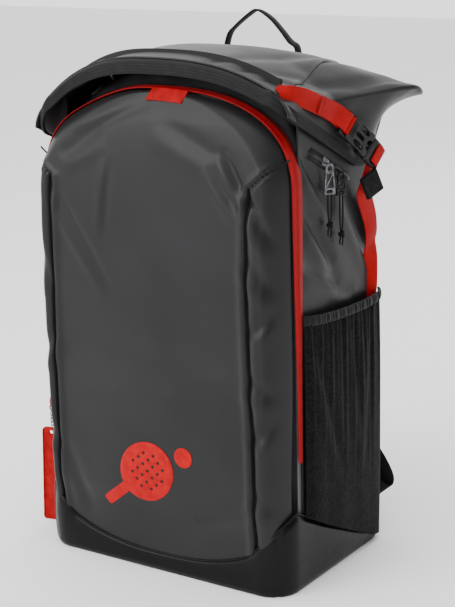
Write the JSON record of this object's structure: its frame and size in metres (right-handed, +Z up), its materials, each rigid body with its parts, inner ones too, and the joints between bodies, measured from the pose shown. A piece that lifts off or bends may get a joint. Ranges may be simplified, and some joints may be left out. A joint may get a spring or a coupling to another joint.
{
  "type": "racket backpack",
  "caption": "Roll-top racket backpack with an arched front racket compartment, buckled top flap, mesh side pockets, padded straps and a haul loop.",
  "frame": {"origin": "middle of the base's underside, where the bag stands", "axes": "+Z up the bag, -Y out of the front racket compartment, +X to the viewer's right when facing the front"},
  "size_m": [0.416, 0.265, 0.579],
  "materials": {
    "coated_fabric": "satin",
    "boot_fabric": "gloss",
    "board": "matte",
    "padding": "matte",
    "spacer_mesh": "matte",
    "pocket_mesh": "matte",
    "black_webbing": "matte",
    "red_webbing": "matte",
    "red_print": "satin",
    "red_rubber": "satin",
    "black_plastic": "satin",
    "zinc": "polished"
  },
  "bodies": {
    "bag": {"base_panel": "boot_fabric", "base_boot": "boot_fabric", "base_board": "board", "back_panel": "padding", "back_frame_sheet": "board", "back_pad_left": "spacer_mesh", "back_pad_right": "spacer_mesh", "side_panel_left": "coated_fabric", "side_panel_right": "coated_fabric", "divider_panel": "padding", "racket_rim": "padding", "zip_tape_fixed": "red_webbing", "front_lower_panel": "coated_fabric", "graphic_lower": "red_print", "laptop_sleeve": "padding", "mesh_pocket_left": "pocket_mesh", "mesh_pocket_right": "pocket_mesh", "pocket_hem_left": "black_webbing", "pocket_hem_right": "black_webbing", "main_zip_tape_left": "black_webbing", "main_zip_tape_right": "black_webbing", "strap_yoke": "padding", "strap_anchor_left": "black_webbing", "strap_anchor_right": "black_webbing", "lower_webbing_left": "red_webbing", "lower_webbing_right": "red_webbing", "haul_anchor": "black_webbing"},
    "racket_door": {"front_panel": "coated_fabric", "zip_tape_door": "red_webbing", "sewn_tag": "red_rubber", "graphic_upper": "red_print"},
    "flap": {"roll_top_cover": "coated_fabric", "wing_left": "coated_fabric", "wing_right": "coated_fabric", "hem_band": "black_webbing", "upper_strap_left": "red_webbing", "upper_strap_right": "red_webbing", "female_buckle_left": "black_plastic", "female_buckle_right": "black_plastic"},
    "male_left": {"male_buckle_left": "black_plastic", "male_webbing_left": "red_webbing"},
    "male_right": {"male_buckle_right": "black_plastic", "male_webbing_right": "red_webbing"},
    "haul_handle": {"haul_loop": "black_webbing"},
    "racket_zip_slider": {"racket_slider": "black_plastic"},
    "fob": {"fob_link": "zinc", "fob_tag": "red_rubber"},
    "front_zip_slider": {"main_slider_front": "zinc"},
    "front_zip_puller": {"main_puller_front": "zinc"},
    "rear_zip_slider": {"main_slider_rear": "black_plastic"},
    "rear_zip_puller": {"main_puller_rear": "black_plastic"},
    "strap_left": {"shoulder_pad_left": "spacer_mesh", "ladder_lock_left": "black_plastic", "strap_webbing_left": "black_webbing"},
    "strap_right": {"shoulder_pad_right": "spacer_mesh", "ladder_lock_right": "black_plastic", "strap_webbing_right": "black_webbing"}
  },
  "joints": [
    {"name": "racket_door_hinge", "type": "hinge", "parent": "bag", "child": "racket_door", "pos_m": [0, -0.107, 0.133], "axis": [1, 0, 0], "range_deg": [0, 65]},
    {"name": "flap_hinge", "type": "hinge", "parent": "bag", "child": "flap", "pos_m": [0, 0.1005, 0.516], "axis": [-1, 0, 0], "range_deg": [0, 65]},
    {"name": "buckle_slide_left", "type": "slide", "parent": "bag", "child": "male_left", "axis": [-0.1863, 0.7254, -0.6626], "range_m": [0, 0.024]},
    {"name": "buckle_slide_right", "type": "slide", "parent": "bag", "child": "male_right", "axis": [0.1863, 0.7254, -0.6626], "range_m": [0, 0.024]},
    {"name": "haul_loop_fold", "type": "hinge", "parent": "bag", "child": "haul_handle", "pos_m": [0, 0.1075, 0.4903], "axis": [-1, 0, 0], "range_deg": [0, 80]},
    {"name": "racket_zip_slide", "type": "slide", "parent": "bag", "child": "racket_zip_slider", "axis": [0, 0, 1], "range_m": [0, 0.235]},
    {"name": "fob_swing", "type": "hinge", "parent": "racket_zip_slider", "child": "fob", "pos_m": [-0.166, -0.07, 0.152], "axis": [0, 1, 0], "range_deg": [0, 45]},
    {"name": "front_zip_slide", "type": "slide", "parent": "bag", "child": "front_zip_slider", "axis": [0, -0.891, 0.454], "range_m": [0, 0.035]},
    {"name": "front_puller_swing", "type": "hinge", "parent": "front_zip_slider", "child": "front_zip_puller", "pos_m": [0.1606, -0.01847, 0.43836], "axis": [0, -1, 0], "range_deg": [0, 80]},
    {"name": "rear_zip_slide", "type": "slide", "parent": "bag", "child": "rear_zip_slider", "axis": [0, 0.891, -0.454], "range_m": [0, 0.007]},
    {"name": "rear_puller_swing", "type": "hinge", "parent": "rear_zip_slider", "child": "rear_zip_puller", "pos_m": [0.1606, 0.00469, 0.42655], "axis": [0, -1, 0], "range_deg": [0, 80]},
    {"name": "shoulder_strap_left_swing", "type": "hinge", "parent": "bag", "child": "strap_left", "pos_m": [-0.074, 0.116, 0.471], "axis": [1, 0, 0], "range_deg": [0, 30]},
    {"name": "shoulder_strap_right_swing", "type": "hinge", "parent": "bag", "child": "strap_right", "pos_m": [0.074, 0.116, 0.471], "axis": [1, 0, 0], "range_deg": [0, 30]}
  ]
}
